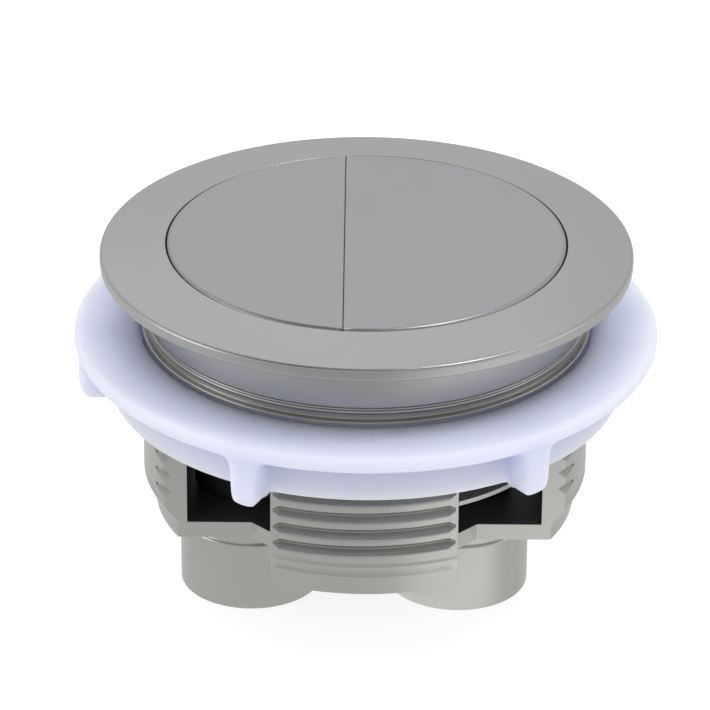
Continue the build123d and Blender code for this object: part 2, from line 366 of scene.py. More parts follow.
def pick(piece, kind, test):
    """Selects in edit mode what passes the test, which gets each element's middle and the element."""
    bpy.ops.mesh.select_mode(type=kind)
    bpy.ops.mesh.select_all(action="DESELECT")
    shape = bmesh.from_edit_mesh(piece.data)
    found = 0
    for part in {"VERT": shape.verts, "EDGE": shape.edges, "FACE": shape.faces}[kind]:
        if kind == "VERT":
            middle = part.co
        elif kind == "EDGE":
            middle = (part.verts[0].co + part.verts[1].co) / 2
        else:
            middle = part.calc_center_median()
        if test(middle, part):
            part.select_set(True)
            found += 1
    shape.select_flush_mode()
    bmesh.update_edit_mesh(piece.data)
    if not found:
        raise RuntimeError(f"{piece.name}: no {kind.lower()} found to work on")


def weld():
    """Merges points that lie on each other and turns every face outwards."""
    bpy.ops.mesh.select_mode(type="VERT")
    select_all()
    bpy.ops.mesh.remove_doubles(threshold=SAME_POINT)
    bpy.ops.mesh.normals_make_consistent(inside=False)


def start_mesh(name, add, **options):
    """Adds a primitive at the origin, names it and opens it in edit mode."""
    leave_edit_mode()
    add(location=(0, 0, 0), **options)
    piece = bpy.context.object
    piece.name = name
    piece.data.name = name
    bpy.ops.object.mode_set(mode="EDIT")
    select_all()
    return piece


def draw_line(name, points, closed=False):
    """New piece that is a line through the points, drawn by extruding one vertex."""
    piece = start_mesh(name, bpy.ops.mesh.primitive_plane_add, size=CLEAR)
    bpy.ops.mesh.merge(type="CENTER")
    shift(points[0])
    if closed:
        points = [*points, points[0]]
    for near, far in zip(points, points[1:]):
        extrude(Vector(far) - Vector(near))
    select_all()
    bpy.ops.mesh.remove_doubles(threshold=SAME_POINT)
    return piece


def round_corners(piece, places, radius, segments=4):
    """Rounds the corners of a drawn line at these places."""
    places = [Vector(place) for place in places]
    pick(piece, "VERT", lambda middle, _: any((middle - p).length < SAME_POINT for p in places))
    bpy.ops.mesh.bevel(offset=radius, segments=segments, affect="VERTICES", clamp_overlap=False)


def spin(angle, steps):
    """Turns what is selected about the upright axis, anticlockwise seen from above."""
    bpy.ops.mesh.spin(
        steps=steps, angle=angle, center=(0, 0, 0), axis=(0, 0, -1), use_auto_merge=False
    )


def turn_on_lathe(piece, columns=COLUMNS, start=0.0):
    """Turns a drawn line into a round body, whose columns start at an angle."""
    select_all()
    rotate_selected(start)
    spin(2 * pi, columns)
    weld()
    leave_edit_mode()
    return piece


def rotate_selected(angle):
    """Turns what is selected about the upright axis, anticlockwise seen from above."""
    bpy.ops.transform.rotate(value=-angle, orient_axis="Z", center_override=(0, 0, 0))


def close_ends():
    """Closes the open ends of a swept body with faces."""
    bpy.ops.mesh.select_mode(type="EDGE")
    bpy.ops.mesh.select_all(action="DESELECT")
    bpy.ops.mesh.select_non_manifold()
    bpy.ops.mesh.fill_holes(sides=0)


def merge_close(piece):
    """Merges the points that cuts leave very close together."""
    edit(piece)
    bpy.ops.mesh.remove_doubles(threshold=CLOSE_POINT)
    leave_edit_mode()


def move_mesh(piece, offset):
    """Moves a piece's mesh and leaves its origin."""
    edit(piece)
    shift(offset)
    leave_edit_mode()


def copy_piece(piece):
    """Copy of a piece with its own mesh."""
    make_active(piece)
    bpy.ops.object.duplicate(linked=False)
    return bpy.context.object


def apply_modifier(piece, kind, **settings):
    """Adds a modifier to a piece and applies it."""
    make_active(piece)
    bpy.ops.object.modifier_add(type=kind)
    modifier = piece.modifiers[-1]
    for name, value in settings.items():
        setattr(modifier, name, value)
    bpy.ops.object.modifier_apply(modifier=modifier.name)


def combine(piece, other, operation):
    """Cuts the other body out of a piece or fuses it on, and removes the other body."""
    apply_modifier(piece, "BOOLEAN", operation=operation, solver="EXACT", object=other)
    make_active(other)
    bpy.ops.object.delete()


def smooth(piece):
    """Smooth shading with crisp corners and flat faces that stay flat."""
    make_active(piece)
    bpy.ops.object.shade_smooth_by_angle(angle=SMOOTH_ANGLE)
    apply_modifier(piece, "WEIGHTED_NORMAL", keep_sharp=True)


def settle(piece, body, slot, material, *nodes):
    """Gives a finished piece its finish and its place on the frame."""
    piece.data.materials.clear()
    piece.data.materials.append(material)
    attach(piece, body)
    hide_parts(*nodes)


# Housing


def housing_levels(sizes):
    """Heights of the housing's main steps, from the top down."""
    top = HOUSING_HIGH.z
    rim = top - sizes.bezel_fall
    seat = rim - sizes.bezel_edge
    foot = seat - sizes.sleeve_length
    return top, rim, seat, foot


def turned_body(sizes):
    """Bezel, neck, sleeve and floor, drawn as one outline and turned."""
    top, rim, seat, foot = housing_levels(sizes)
    brink = top - sizes.opening_drop
    floor = foot + sizes.floor_thickness
    pilot_top = foot + sizes.pilot_height
    lead_top = pilot_top + sizes.lead_height
    lead_groove = foot + sizes.lead_groove
    half_groove = sizes.lead_groove_width / 2
    neck_foot = seat - sizes.neck_length
    bead_top = neck_foot - sizes.upper_groove
    bead_foot = bead_top - sizes.bead_width
    sleeve_top = bead_foot - sizes.lower_groove
    bezel = sizes.bezel_radius
    crest = sizes.crest_radius
    pilot = sizes.pilot_radius
    groove = sizes.groove_radius
    bead = sizes.bead_radius
    neck = sizes.neck_radius
    outline = draw_line("housing", [
        (0, 0, foot),
        (pilot, 0, foot),
        (pilot, 0, pilot_top),
        (crest, 0, lead_top),
        (crest, 0, lead_groove - half_groove),
        (crest - sizes.lead_groove_depth, 0, lead_groove),
        (crest, 0, lead_groove + half_groove),
        (crest, 0, sleeve_top),
        (groove, 0, sleeve_top),
        (groove, 0, bead_foot),
        (bead, 0, bead_foot),
        (bead, 0, bead_top),
        (groove, 0, bead_top),
        (groove, 0, neck_foot),
        (neck, 0, neck_foot),
        (neck, 0, seat),
        (bezel, 0, seat),
        (bezel, 0, rim),
        (sizes.opening_radius, 0, brink),
        (sizes.opening_radius, 0, seat),
        (sizes.bore_radius, 0, seat),
        (sizes.bore_radius, 0, floor),
        (0, 0, floor),
    ])
    round_corners(outline, [(bezel, 0, seat), (bezel, 0, rim)], sizes.bezel_round, 5)
    round_corners(outline, [(sizes.opening_radius, 0, brink)], sizes.opening_round)
    beads = [(crest, 0, sleeve_top), (bead, 0, bead_foot), (bead, 0, bead_top), (neck, 0, neck_foot)]
    round_corners(outline, beads, sizes.bead_round)
    round_corners(outline, [(pilot, 0, pilot_top)], sizes.lead_round)
    round_corners(outline, [(crest, 0, lead_top)], sizes.lead_round / 2)
    groove_foot = (crest - sizes.lead_groove_depth, 0, lead_groove)
    round_corners(outline, [groove_foot], sizes.lead_groove_width / 5)
    round_corners(outline, [(pilot, 0, foot), (neck, 0, seat)], sizes.bead_round)
    return turn_on_lathe(outline, start=SLEEVE_TURN)


def corner_windows(sizes):
    """Body of the four corner windows, which leave panels and arms standing."""
    _, _, seat, foot = housing_levels(sizes)
    window_top = seat - sizes.window_drop
    near = Vector((sizes.panel_width / 2, sizes.arm_width / 2, foot - CLEAR))
    far = Vector((sizes.bezel_radius, sizes.bezel_radius, window_top))
    windows = start_mesh("corner_windows", bpy.ops.mesh.primitive_cube_add, size=1)
    bpy.ops.transform.resize(value=far - near)
    shift((near + far) / 2)
    pick(windows, "EDGE", lambda middle, _: (middle.xy - near.xy).length < SAME_POINT)
    round_edges(sizes.corner_cut, 1)
    for flip in ((-1, 1, 1), (1, -1, 1)):
        select_all()
        bpy.ops.mesh.duplicate()
        bpy.ops.transform.resize(value=flip, center_override=(0, 0, 0))
    weld()
    leave_edit_mode()
    return windows


def guide_tube(sizes):
    """Outside of one guide tube, with its small step, on the upright axis."""
    _, _, _, foot = housing_levels(sizes)
    step = foot - sizes.step_drop
    inside_floor = foot + sizes.floor_thickness / 2
    narrow = sizes.tube_radius - sizes.step_depth
    tube = draw_line("guide_tube", [
        (0, 0, 0),
        (sizes.tube_radius, 0, 0),
        (sizes.tube_radius, 0, step - sizes.step_depth),
        (narrow, 0, step),
        (narrow, 0, inside_floor),
        (0, 0, inside_floor),
    ])
    round_corners(tube, [(sizes.tube_radius, 0, 0)], sizes.tube_round)
    shoulder = (sizes.tube_radius, 0, step - sizes.step_depth)
    round_corners(tube, [shoulder], sizes.step_depth / 2, 2)
    return turn_on_lathe(tube, TUBE_COLUMNS)


def tube_bore(sizes):
    """Inside of one guide tube, with the lip that carries the spring."""
    _, _, _, foot = housing_levels(sizes)
    mouth = foot + sizes.floor_thickness + CLEAR
    bore = draw_line("tube_bore", [
        (0, 0, -CLEAR),
        (sizes.lip_hole, 0, -CLEAR),
        (sizes.lip_hole, 0, sizes.tube_lip),
        (sizes.tube_bore, 0, sizes.tube_lip),
        (sizes.tube_bore, 0, mouth),
        (0, 0, mouth),
    ])
    return turn_on_lathe(bore, BORE_COLUMNS)


def thread_cutter(sizes, first_column, columns, fades):
    """Body of the thread's grooves over one stretch of columns, which fade out at some ends."""
    _, _, _, foot = housing_levels(sizes)
    crest = sizes.crest_radius
    root = crest - sizes.thread_depth
    half_root = sizes.root_width / 2
    half_mouth = sizes.mouth_width / 2
    half_flare = (sizes.thread_pitch + sizes.mouth_width) / 4 + sizes.crest_round / 4
    outside = crest + sizes.thread_depth
    rise = sizes.thread_pitch / COLUMNS
    # Columns from the front, between minus half a turn and half a turn
    from_front = (first_column + COLUMNS // 4 + COLUMNS // 2) % COLUMNS - COLUMNS // 2
    level = foot + sizes.thread_first + rise * from_front
    angle = first_column * COLUMN_ANGLE

    def place(radius, height):
        return (radius * cos(angle), radius * sin(angle), level + height)

    section = [
        (root, -half_root),
        (crest, -half_mouth),
        (crest + CLEAR / 4, -half_flare),
        (outside, -half_flare),
        (outside, half_flare),
        (crest + CLEAR / 4, half_flare),
        (crest, half_mouth),
        (root, half_root),
    ]
    cutter = draw_line("thread_cutter", [place(*point) for point in section], closed=True)
    round_corners(cutter, [place(crest, -half_mouth), place(crest, half_mouth)], sizes.crest_round)
    round_corners(cutter, [place(root, -half_root), place(root, half_root)], half_root, 2)
    select_all()
    for _ in range(columns):
        spin(COLUMN_ANGLE, 1)
        shift((0, 0, rise))
    lift = sizes.fade_share * sizes.thread_depth
    for end, along, delay in fades:
        for inward, outward, overrun in ((1, 0.0, delay), (0, lift, sizes.thread_overrun)):
            around = (end + along * inward) * COLUMN_ANGLE
            out = Vector((cos(around), sin(around), 0))
            side = Vector((-out.y, out.x, 0))
            pick(
                cutter,
                "VERT",
                lambda middle, _: abs(middle.dot(side)) < SAME_POINT and middle.dot(out) > 0,
            )
            shift(out * outward)
            rotate_selected(-along * overrun)
    close_ends()
    turns = int((foot + sizes.thread_last - level) / sizes.thread_pitch)
    select_all()
    for _ in range(turns):
        bpy.ops.mesh.duplicate_move(TRANSFORM_OT_translate={"value": (0, 0, sizes.thread_pitch)})
    weld()
    leave_edit_mode()
    return cutter


def model_housing(sizes):
    """Moulding with bezel, neck, threaded sleeve, floor and guide tubes."""
    body = turned_body(sizes)
    combine(body, corner_windows(sizes), "DIFFERENCE")
    tube = guide_tube(sizes)
    bore = tube_bore(sizes)
    for shape, operation in ((tube, "UNION"), (bore, "DIFFERENCE")):
        for x in TUBE_X.values():
            each = copy_piece(shape)
            move_mesh(each, (x, 0, 0))
            combine(body, each, operation)
    for shape in (tube, bore):
        make_active(shape)
        bpy.ops.object.delete()
    merge_close(body)
    apply_modifier(
        body,
        "BEVEL",
        width=sizes.edge_round,
        segments=2,
        limit_method="ANGLE",
        angle_limit=EDGE_ANGLE,
        use_clamp_overlap=False,
    )
    quarter = COLUMNS // 4
    half_panel = int(asin(sizes.panel_width / 2 / sizes.crest_radius) / COLUMN_ANGLE)
    jamb = asin(sizes.arm_width / 2 / sizes.crest_radius) / COLUMN_ANGLE
    for middle in (-quarter, quarter):
        ends = [(middle + way * half_panel, -way, sizes.fade_delay) for way in (-1, 1)]
        combine(body, thread_cutter(sizes, middle - half_panel, 2 * half_panel, ends), "DIFFERENCE")
    for arm in (0, 2 * quarter):
        start = ceil(arm - jamb) + 1
        stop = int(arm + jamb) - 1
        for first, end, along in ((start - TOOTH_COLUMNS, start, -1), (stop, stop, 1)):
            teeth = thread_cutter(sizes, first, TOOTH_COLUMNS, [(end, along, 0.0)])
            combine(body, teeth, "DIFFERENCE")
    smooth(body)
    return body


# Lock nut


def model_lock_nut(sizes):
    """Nut with a rounded flange and grip lugs, modelled as one sector and repeated."""
    top = NUT_HIGH.z
    under = top - sizes.flange_thickness
    hub_foot = under - sizes.hub_height
    bore = sizes.bore_radius
    hub = sizes.hub_radius
    flange = sizes.flange_radius
    low_edge = flange - sizes.flange_draft
    sector = 2 * pi / sizes.lug_count
    half_lug = sizes.lug_width / 2 / hub
    half_flare = half_lug + sizes.lug_flare / hub
    plain = (sector / 2 - half_flare) / PLAIN_STEPS
    steps = [plain] * PLAIN_STEPS + [half_flare - half_lug, half_lug]

    def place(radius, height):
        return (radius * cos(sector / 2), -radius * sin(sector / 2), height)

    nut = draw_line("lock_nut", [
        place(bore, hub_foot),
        place(hub, hub_foot),
        place(hub, under),
        place(low_edge, under),
        place(flange, top),
        place(bore, top),
    ], closed=True)
    round_corners(nut, [place(low_edge, under), place(flange, top)], sizes.flange_round, 3)
    round_corners(nut, [place(hub, under)], sizes.root_round, 2)
    small = [place(bore, hub_foot), place(hub, hub_foot), place(bore, top)]
    round_corners(nut, small, sizes.bore_round, 2)
    select_all()
    for step in steps + steps[::-1]:
        spin(step, 1)
    weld()
    draw_down_lug(nut, sizes, hub_foot, under, half_lug)
    select_all()
    rotate_selected(FRONT + sizes.lug_turn)
    for _ in range(sizes.lug_count - 1):
        bpy.ops.mesh.duplicate()
        rotate_selected(sector)
    weld()
    apply_modifier(nut, "SUBSURF", levels=2, render_levels=2)
    make_active(nut)
    bpy.ops.object.shade_smooth()
    return nut


def draw_down_lug(nut, sizes, hub_foot, under, half_lug):
    """Draws a grip lug down from the flange's underside and joins it to the hub's wall."""
    hub = sizes.hub_radius
    wall = [
        vert.co.z
        for vert in bmesh.from_edit_mesh(nut.data).verts
        if abs(hypot(vert.co.x, vert.co.y) - hub) < SAME_POINT
    ]
    wall_foot = min(wall)
    wall_top = max(wall)
    lug_foot = NUT_LOW.z - sizes.lug_sag
    nose = sizes.flange_radius - sizes.flange_draft - sizes.flange_round

    def in_lug(place):
        return abs(atan2(place.y, place.x)) < half_lug + SAME_POINT

    def on_wall(place, _):
        off = abs(hypot(place.x, place.y) - hub)
        inside = abs(atan2(place.y, place.x)) < half_lug - SAME_POINT
        return inside and off < CLEAR and wall_foot + CLEAR < place.z < wall_top - CLEAR

    def on_underside(place, _):
        return (
            in_lug(place)
            and hypot(place.x, place.y) > hub
            and wall_top < place.z < under + sizes.flange_round / 4
        )

    def on_foot(place, _):
        reach = hypot(place.x, place.y)
        return (
            in_lug(place)
            and reach > hub - sizes.bore_round
            and hub_foot < place.z < wall_foot + SAME_POINT
        )

    def extrude_down(start, stop):
        extrude((0, 0, stop - start))
        bpy.ops.transform.resize(value=(1, 1, 0), center_override=(0, 0, stop))

    pick(nut, "FACE", on_wall)
    bpy.ops.mesh.delete(type="ONLY_FACE")
    pick(nut, "FACE", on_underside)
    extrude_down(wall_top, wall_foot)
    pick(nut, "FACE", on_wall)
    bpy.ops.mesh.delete(type="ONLY_FACE")
    weld()
    for side in (-1, 1):
        for reach, widen in ((CLEAR / 2, sizes.wall_spread), (sizes.root_round, sizes.outer_spread)):
            pick(
                nut,
                "VERT",
                lambda place, _: abs(atan2(place.y, place.x) - side * half_lug) < SAME_ANGLE
                and abs(hypot(place.x, place.y) - hub - reach / 2) < reach / 2 + SAME_POINT
                and wall_foot - SAME_POINT < place.z < under - SAME_POINT,
            )
            shift((0, side * widen * sizes.lug_flare, 0))
    pick(nut, "FACE", on_foot)
    extrude_down(wall_foot, lug_foot)
    bpy.ops.transform.resize(value=(1, sizes.lug_taper, 1), center_override=(0, 0, 0))
    pick(
        nut,
        "VERT",
        lambda place, _: in_lug(place) and place.z < wall_foot + SAME_POINT and place.x > nose,
    )
    shift((sizes.lug_reach - nose - sizes.flange_round / 2, 0, 0))
    pick(nut, "VERT", lambda place, _: place.z < lug_foot + SAME_POINT and place.x > nose)
    shift((-sizes.lug_nose_round, 0, 0))
    pick(nut, "VERT", lambda place, _: place.z < lug_foot + SAME_POINT and abs(place.y) > CLEAR / 2)
    shift((0, 0, sizes.lug_nose_round / 3))
    weld()


# Buttons


def model_cap(side, sizes):
    """Push button: plate with a rounded edge, skirt, snap tabs with nibs, and pegs."""
    sign = SIDES[side]
    low, high = CAP_BOX[side]
    split = (high.x if sign < 0 else low.x) - sign * sizes.split_ease
    under = high.z - sizes.plate
    skirt_foot = under - sizes.skirt_depth
    cap = start_mesh(
        side + "_cap",
        bpy.ops.mesh.primitive_circle_add,
        vertices=COLUMNS,
        radius=CAP_RADIUS + sizes.rim_ease,
        fill_type="NGON",
    )
    shift((0, 0, under))
    bpy.ops.mesh.bisect(plane_co=(split, 0, 0), plane_no=(sign, 0, 0), clear_inner=True)
    select_all()
    extrude((0, 0, sizes.plate))
    weld()
    round_plate(cap, sizes, high.z, split)
    pick(cap, "FACE", lambda place, _: place.z < under + SAME_POINT)
    bpy.ops.mesh.inset(thickness=sizes.skirt_wall)
    pick(cap, "FACE", lambda place, face: place.z < under + SAME_POINT and len(face.verts) == 4)
    extrude((0, 0, -sizes.skirt_depth))
    for middle, way in ((FRONT, sign), (BACK, -sign)):
        start = middle + way * sizes.tab_start
        stop = start + way * sizes.tab_span
        for edge in (start, stop):
            pick(cap, "FACE", lambda place, _: place.z < under - SAME_POINT)
            bpy.ops.mesh.bisect(plane_co=(0, 0, 0), plane_no=(-sin(edge), cos(edge), 0))
        centre = (start + stop) / 2
        towards = Vector((cos(centre), sin(centre), 0))
        pick(
            cap,
            "FACE",
            lambda place, _: place.z < skirt_foot + SAME_POINT
            and towards.angle(Vector((place.x, place.y, 0))) < sizes.tab_span / 2,
        )
        extrude((0, 0, low.z - skirt_foot))
    weld()
    leave_edit_mode()
    for middle, way in ((FRONT, sign), (BACK, -sign)):
        combine(cap, catch_nib(sizes, middle, way), "UNION")
    for y in (-sizes.peg_spacing / 2, sizes.peg_spacing / 2):
        combine(cap, cap_peg(sizes, (TUBE_X[side], y, under)), "UNION")
    smooth(cap)
    return cap


def round_plate(cap, sizes, top, split):
    """Rounds the upper edges of a button's plate, the straight one less."""

    def on_top(edge):
        return min(v.co.z for v in edge.verts) > top - SAME_POINT

    def on_split(place):
        return abs(place.x - split) < SAME_POINT

    pick(cap, "EDGE", lambda place, edge: on_top(edge) and on_split(place))
    round_edges(sizes.split_round, 3)
    pick(
        cap,
        "EDGE",
        lambda place, edge: on_top(edge)
        and len(edge.link_faces) == 2
        and min(face.normal.z for face in edge.link_faces) < 0.1,
    )
    round_edges(sizes.edge_round, 5)


def catch_nib(sizes, middle, way):
    """Nib that catches under a window's top."""
    start = middle + way * sizes.nib_start
    inner = CAP_RADIUS - sizes.skirt_wall / 2
    outer = CAP_RADIUS + sizes.nib_reach
    foot = sizes.nib_top - sizes.nib_height
    section = [
        (inner, foot),
        (CAP_RADIUS, foot),
        (outer, sizes.nib_top - sizes.nib_flat),
        (outer, sizes.nib_top),
        (inner, sizes.nib_top),
    ]
    points = [(r * cos(start), r * sin(start), z) for r, z in section]
    nib = draw_line("catch_nib", points, closed=True)
    select_all()
    spin(way * sizes.nib_span, NIB_COLUMNS)
    close_ends()
    weld()
    leave_edit_mode()
    return nib


def cap_peg(sizes, place):
    """Peg that holds a button on its plunger, with a rounded tip."""
    peg = start_mesh(
        "cap_peg",
        bpy.ops.mesh.primitive_cylinder_add,
        vertices=PEG_SIDES,
        radius=sizes.peg_radius,
        depth=sizes.peg_length + CLEAR,
    )
    tip = -(sizes.peg_length + CLEAR) / 2
    pick(peg, "EDGE", lambda middle, edge: max(v.co.z for v in edge.verts) < tip + SAME_POINT)
    bpy.ops.mesh.bevel(offset=sizes.peg_radius / 4, segments=3, affect="EDGES")
    select_all()
    shift((place[0], place[1], place[2] + tip + CLEAR))
    leave_edit_mode()
    return peg


# Springs


def model_spring(side, sizes):
    """Return spring: a round wire wound round the plunger's stem."""
    spring = start_mesh(
        side + "_spring",
        bpy.ops.mesh.primitive_circle_add,
        vertices=WIRE_SIDES,
        radius=sizes.wire_radius,
        fill_type="NOTHING",
    )
    bpy.ops.transform.rotate(value=pi / 2, orient_axis="X", center_override=(0, 0, 0))
    shift((SPRING_RADIUS - sizes.wire_radius, 0, SPRING_FOOT + sizes.wire_radius))
    leave_edit_mode()
    rise = SPRING_HEAD - SPRING_FOOT - 2 * sizes.wire_radius
    apply_modifier(
        spring,
        "SCREW",
        axis="Z",
        angle=2 * pi,
        screw_offset=rise / sizes.coils,
        iterations=sizes.coils,
        steps=COIL_COLUMNS,
        render_steps=COIL_COLUMNS,
    )
    edit(spring)
    close_ends()
    select_all()
    shift((TUBE_X[side], 0, 0))
    weld()
    make_active(spring)
    bpy.ops.object.shade_smooth_by_angle(angle=SMOOTH_ANGLE)
    return spring


# Finishes


def feed(tree, node, values):
    """Sets a node's inputs to values or links them to sockets."""
    for name, value in values.items():
        if isinstance(value, bpy.types.NodeSocket):
            tree.links.new(value, node.inputs[name])
        else:
            node.inputs[name].default_value = value


def node_at(tree, kind, values=None, **settings):
    """Adds a node with its options and feeds its inputs."""
    node = tree.nodes.new(kind)
    for name, value in settings.items():
        setattr(node, name, value)
    feed(tree, node, values or {})
    return node


def math_at(tree, operation, *values):
    """Adds a sum on values or sockets and returns its result."""
    sum_node = node_at(tree, "ShaderNodeMath", dict(enumerate(values)), operation=operation)
    return sum_node.outputs["Value"]


def empty_tree(owner):
    """Emptied node tree of a material or a world."""
    owner.use_nodes = True
    owner.node_tree.nodes.clear()
    return owner.node_tree


def fill_grain(tree, given):
    """Unevenness of a surface: a mottle between two limits, and the height of a fine grain."""
    place = node_at(tree, "ShaderNodeTexCoord").outputs["Object"]
    mottle = node_at(
        tree,
        "ShaderNodeTexNoise",
        {"Vector": place, "Scale": given["Mottle Scale"], "Detail": 3.0},
    )
    grain = node_at(
        tree,
        "ShaderNodeTexNoise",
        {"Vector": place, "Scale": given["Grain Scale"], "Detail": 2.0},
    )
    spread = node_at(tree, "ShaderNodeMapRange", {
        "Value": mottle.outputs["Fac"],
        "From Min": 0.3,
        "From Max": 0.7,
        "To Min": given["Low"],
        "To Max": given["High"],
    })
    return {"Mottle": spread.outputs["Result"], "Grain": grain.outputs["Fac"]}


def fill_inside(tree, given):
    """Mask of what lies inside a radius and between two levels."""
    place = node_at(tree, "ShaderNodeTexCoord").outputs["Object"]
    split = node_at(tree, "ShaderNodeSeparateXYZ", {"Vector": place}).outputs
    flat = node_at(tree, "ShaderNodeCombineXYZ", {"X": split["X"], "Y": split["Y"]})
    reach = node_at(tree, "ShaderNodeVectorMath", {0: flat.outputs["Vector"]}, operation="LENGTH")
    within = math_at(tree, "LESS_THAN", reach.outputs["Value"], given["Radius"])
    above = math_at(tree, "GREATER_THAN", split["Z"], given["Low"])
    below = math_at(tree, "LESS_THAN", split["Z"], given["High"])
    return {"Mask": math_at(tree, "MULTIPLY", math_at(tree, "MULTIPLY", within, above), below)}


# What each node group takes in, what it puts out and what fills it
GROUPS = {
    "Fine grain": (("Mottle Scale", "Grain Scale", "Low", "High"), ("Mottle", "Grain"), fill_grain),
    "Inside mask": (("Radius", "Low", "High"), ("Mask",), fill_inside),
}


def new_group(name):
    """Builds a node group with its named sockets."""
    inputs, outputs, fill = GROUPS[name]
    tree = bpy.data.node_groups.new(name, "ShaderNodeTree")
    for way, sockets in (("INPUT", inputs), ("OUTPUT", outputs)):
        for socket in sockets:
            tree.interface.new_socket(name=socket, in_out=way, socket_type="NodeSocketFloat")
    entry = node_at(tree, "NodeGroupInput")
    node_at(tree, "NodeGroupOutput", fill(tree, entry.outputs))
    return tree


def placed_group(tree, name, values):
    """Places a node group, which is built once, with its own values and returns its outputs."""
    group = bpy.data.node_groups.get(name) or new_group(name)
    return node_at(tree, "ShaderNodeGroup", values, node_tree=group).outputs


def inside_mask(tree, radius, low, high):
    """Mask of what lies inside a radius and between two levels."""
    return placed_group(tree, "Inside mask", {"Radius": radius, "Low": low, "High": high})["Mask"]


def new_finish(name, roughness, grain_depth, mottle, mottle_scale, grain_scale):
    """Material with a mottled gloss and a fine grain, and the mottle for its colours."""
    material = bpy.data.materials.new(name)
    tree = empty_tree(material)
    grain = placed_group(tree, "Fine grain", {
        "Mottle Scale": mottle_scale,
        "Grain Scale": grain_scale,
        "Low": 1 - mottle,
        "High": 1 + mottle,
    })
    bump = node_at(
        tree,
        "ShaderNodeBump",
        {"Strength": 1.0, "Distance": grain_depth, "Height": grain["Grain"]},
    )
    shader = node_at(tree, "ShaderNodeBsdfPrincipled", {
        "Roughness": math_at(tree, "MULTIPLY", grain["Mottle"], roughness),
        "Normal": bump.outputs["Normal"],
    })
    node_at(tree, "ShaderNodeOutputMaterial", {"Surface": shader.outputs["BSDF"]})
    return material, tree, shader, grain["Mottle"]


def tinted(tree, shade, factor):
    """Colour made lighter and darker by a factor that changes over the surface."""
    tint = node_at(
        tree, "ShaderNodeVectorMath", {0: shade[:3], "Scale": factor}, operation="SCALE"
    )
    return tint.outputs["Vector"]


def painted(tree, under, mask, over, blend="MIX"):
    """Colour that has another one laid over it where a mask is set."""
    paint = node_at(
        tree,
        "ShaderNodeMix",
        {"Factor": mask, "A": under, "B": (*over, 1.0)},
        data_type="RGBA",
        blend_type=blend,
    )
    return paint.outputs["Result"]


def nickel_finish(name, finishes, nickel, core, seat, bare_and_shaded_zone):
    """Satin nickel on black plastic, with a painted warmer reflection tint below the seat, and dark
    bare plastic, partly painted shade, inside a radius and two levels.
    """
    material, tree, shader, mottle = new_finish(
        name,
        finishes.nickel_roughness,
        grain_depth=2e-6,
        mottle=0.03,
        mottle_scale=45.0,
        grain_scale=9000.0,
    )
    # Inside this zone the plating gives way to the dark core: bare plastic, and also painted shade
    inside = inside_mask(tree, *bare_and_shaded_zone)
    # Below the seat the plating gets a painted warmer tint that takes the place of the colour of its
    # reflections
    under = inside_mask(tree, HOUSING_HIGH.x + CLEAR, HOUSING_LOW.z - CLEAR, seat)
    plating = tinted(tree, nickel, mottle)
    plating = painted(tree, plating, under, finishes.low_reflection_tint, "MULTIPLY")
    feed(tree, shader, {
        "Base Color": painted(tree, plating, inside, core),
        "Metallic": math_at(tree, "SUBTRACT", 1.0, inside),
        "Specular IOR Level": 0.15,
    })
    return material


def grained_finish(name, shade, roughness, grain_depth, mottle=0.08):
    """One material all through, with a fine grain."""
    material, tree, shader, unevenness = new_finish(
        name, roughness, grain_depth, mottle, mottle_scale=80.0, grain_scale=5000.0
    )
    feed(tree, shader, {"Base Color": tinted(tree, shade, unevenness)})
    return material, tree, shader


def nut_finish(finishes):
    """Milky white plastic that lets light in."""
    material, tree, shader = grained_finish("white_nut", finishes.nut, 0.42, 3e-6, 0.015)
    feed(tree, shader, {
        "Subsurface Weight": 1.0,
        "Subsurface Radius": (1.0, 1.0, 1.15),
        "Subsurface Scale": finishes.nut_depth,
        "IOR": 1.46,
    })
    return material


def plunger_finish(finishes):
    """Black moulded plastic."""
    return grained_finish("black_plunger", finishes.plunger, 0.42, 4e-6)[0]


def steel_finish(finishes):
    """Bright spring wire."""
    material, tree, shader = grained_finish("spring_wire", finishes.steel, 0.28, 1e-6)
    feed(tree, shader, {"Metallic": 1.0})
    return material


# Stage


def painted_floor_reflection(tree, sizes):
    """Painted reflection: glow of the floor that only reflections see, darker farther off, with a
    painted lit patch on one side.
    """
    place = node_at(tree, "ShaderNodeTexCoord").outputs["Object"]
    depth = node_at(tree, "ShaderNodeSeparateXYZ", {"Vector": place}).outputs["Y"]
    fall = node_at(tree, "ShaderNodeMapRange", {
        "Value": depth,
        "From Min": -sizes.near_reach,
        "From Max": -sizes.far_reach,
        "To Min": sizes.floor_near,
        "To Max": sizes.floor_far,
    }, interpolation_type="SMOOTHSTEP")
    aim = node_at(tree, "ShaderNodeVectorMath", {0: place}, operation="NORMALIZE")
    patch_way = (sin(sizes.patch_turn), -cos(sizes.patch_turn), 0)
    towards = node_at(
        tree,
        "ShaderNodeVectorMath",
        {0: aim.outputs["Vector"], 1: patch_way},
        operation="DOT_PRODUCT",
    )
    patch = node_at(tree, "ShaderNodeMapRange", {
        "Value": towards.outputs["Value"],
        "From Min": sizes.patch_edge,
        "From Max": sizes.patch_core,
        "To Max": sizes.painted_patch_glow,
    }, interpolation_type="SMOOTHSTEP")
    return math_at(tree, "ADD", fall.outputs["Result"], patch.outputs["Result"])


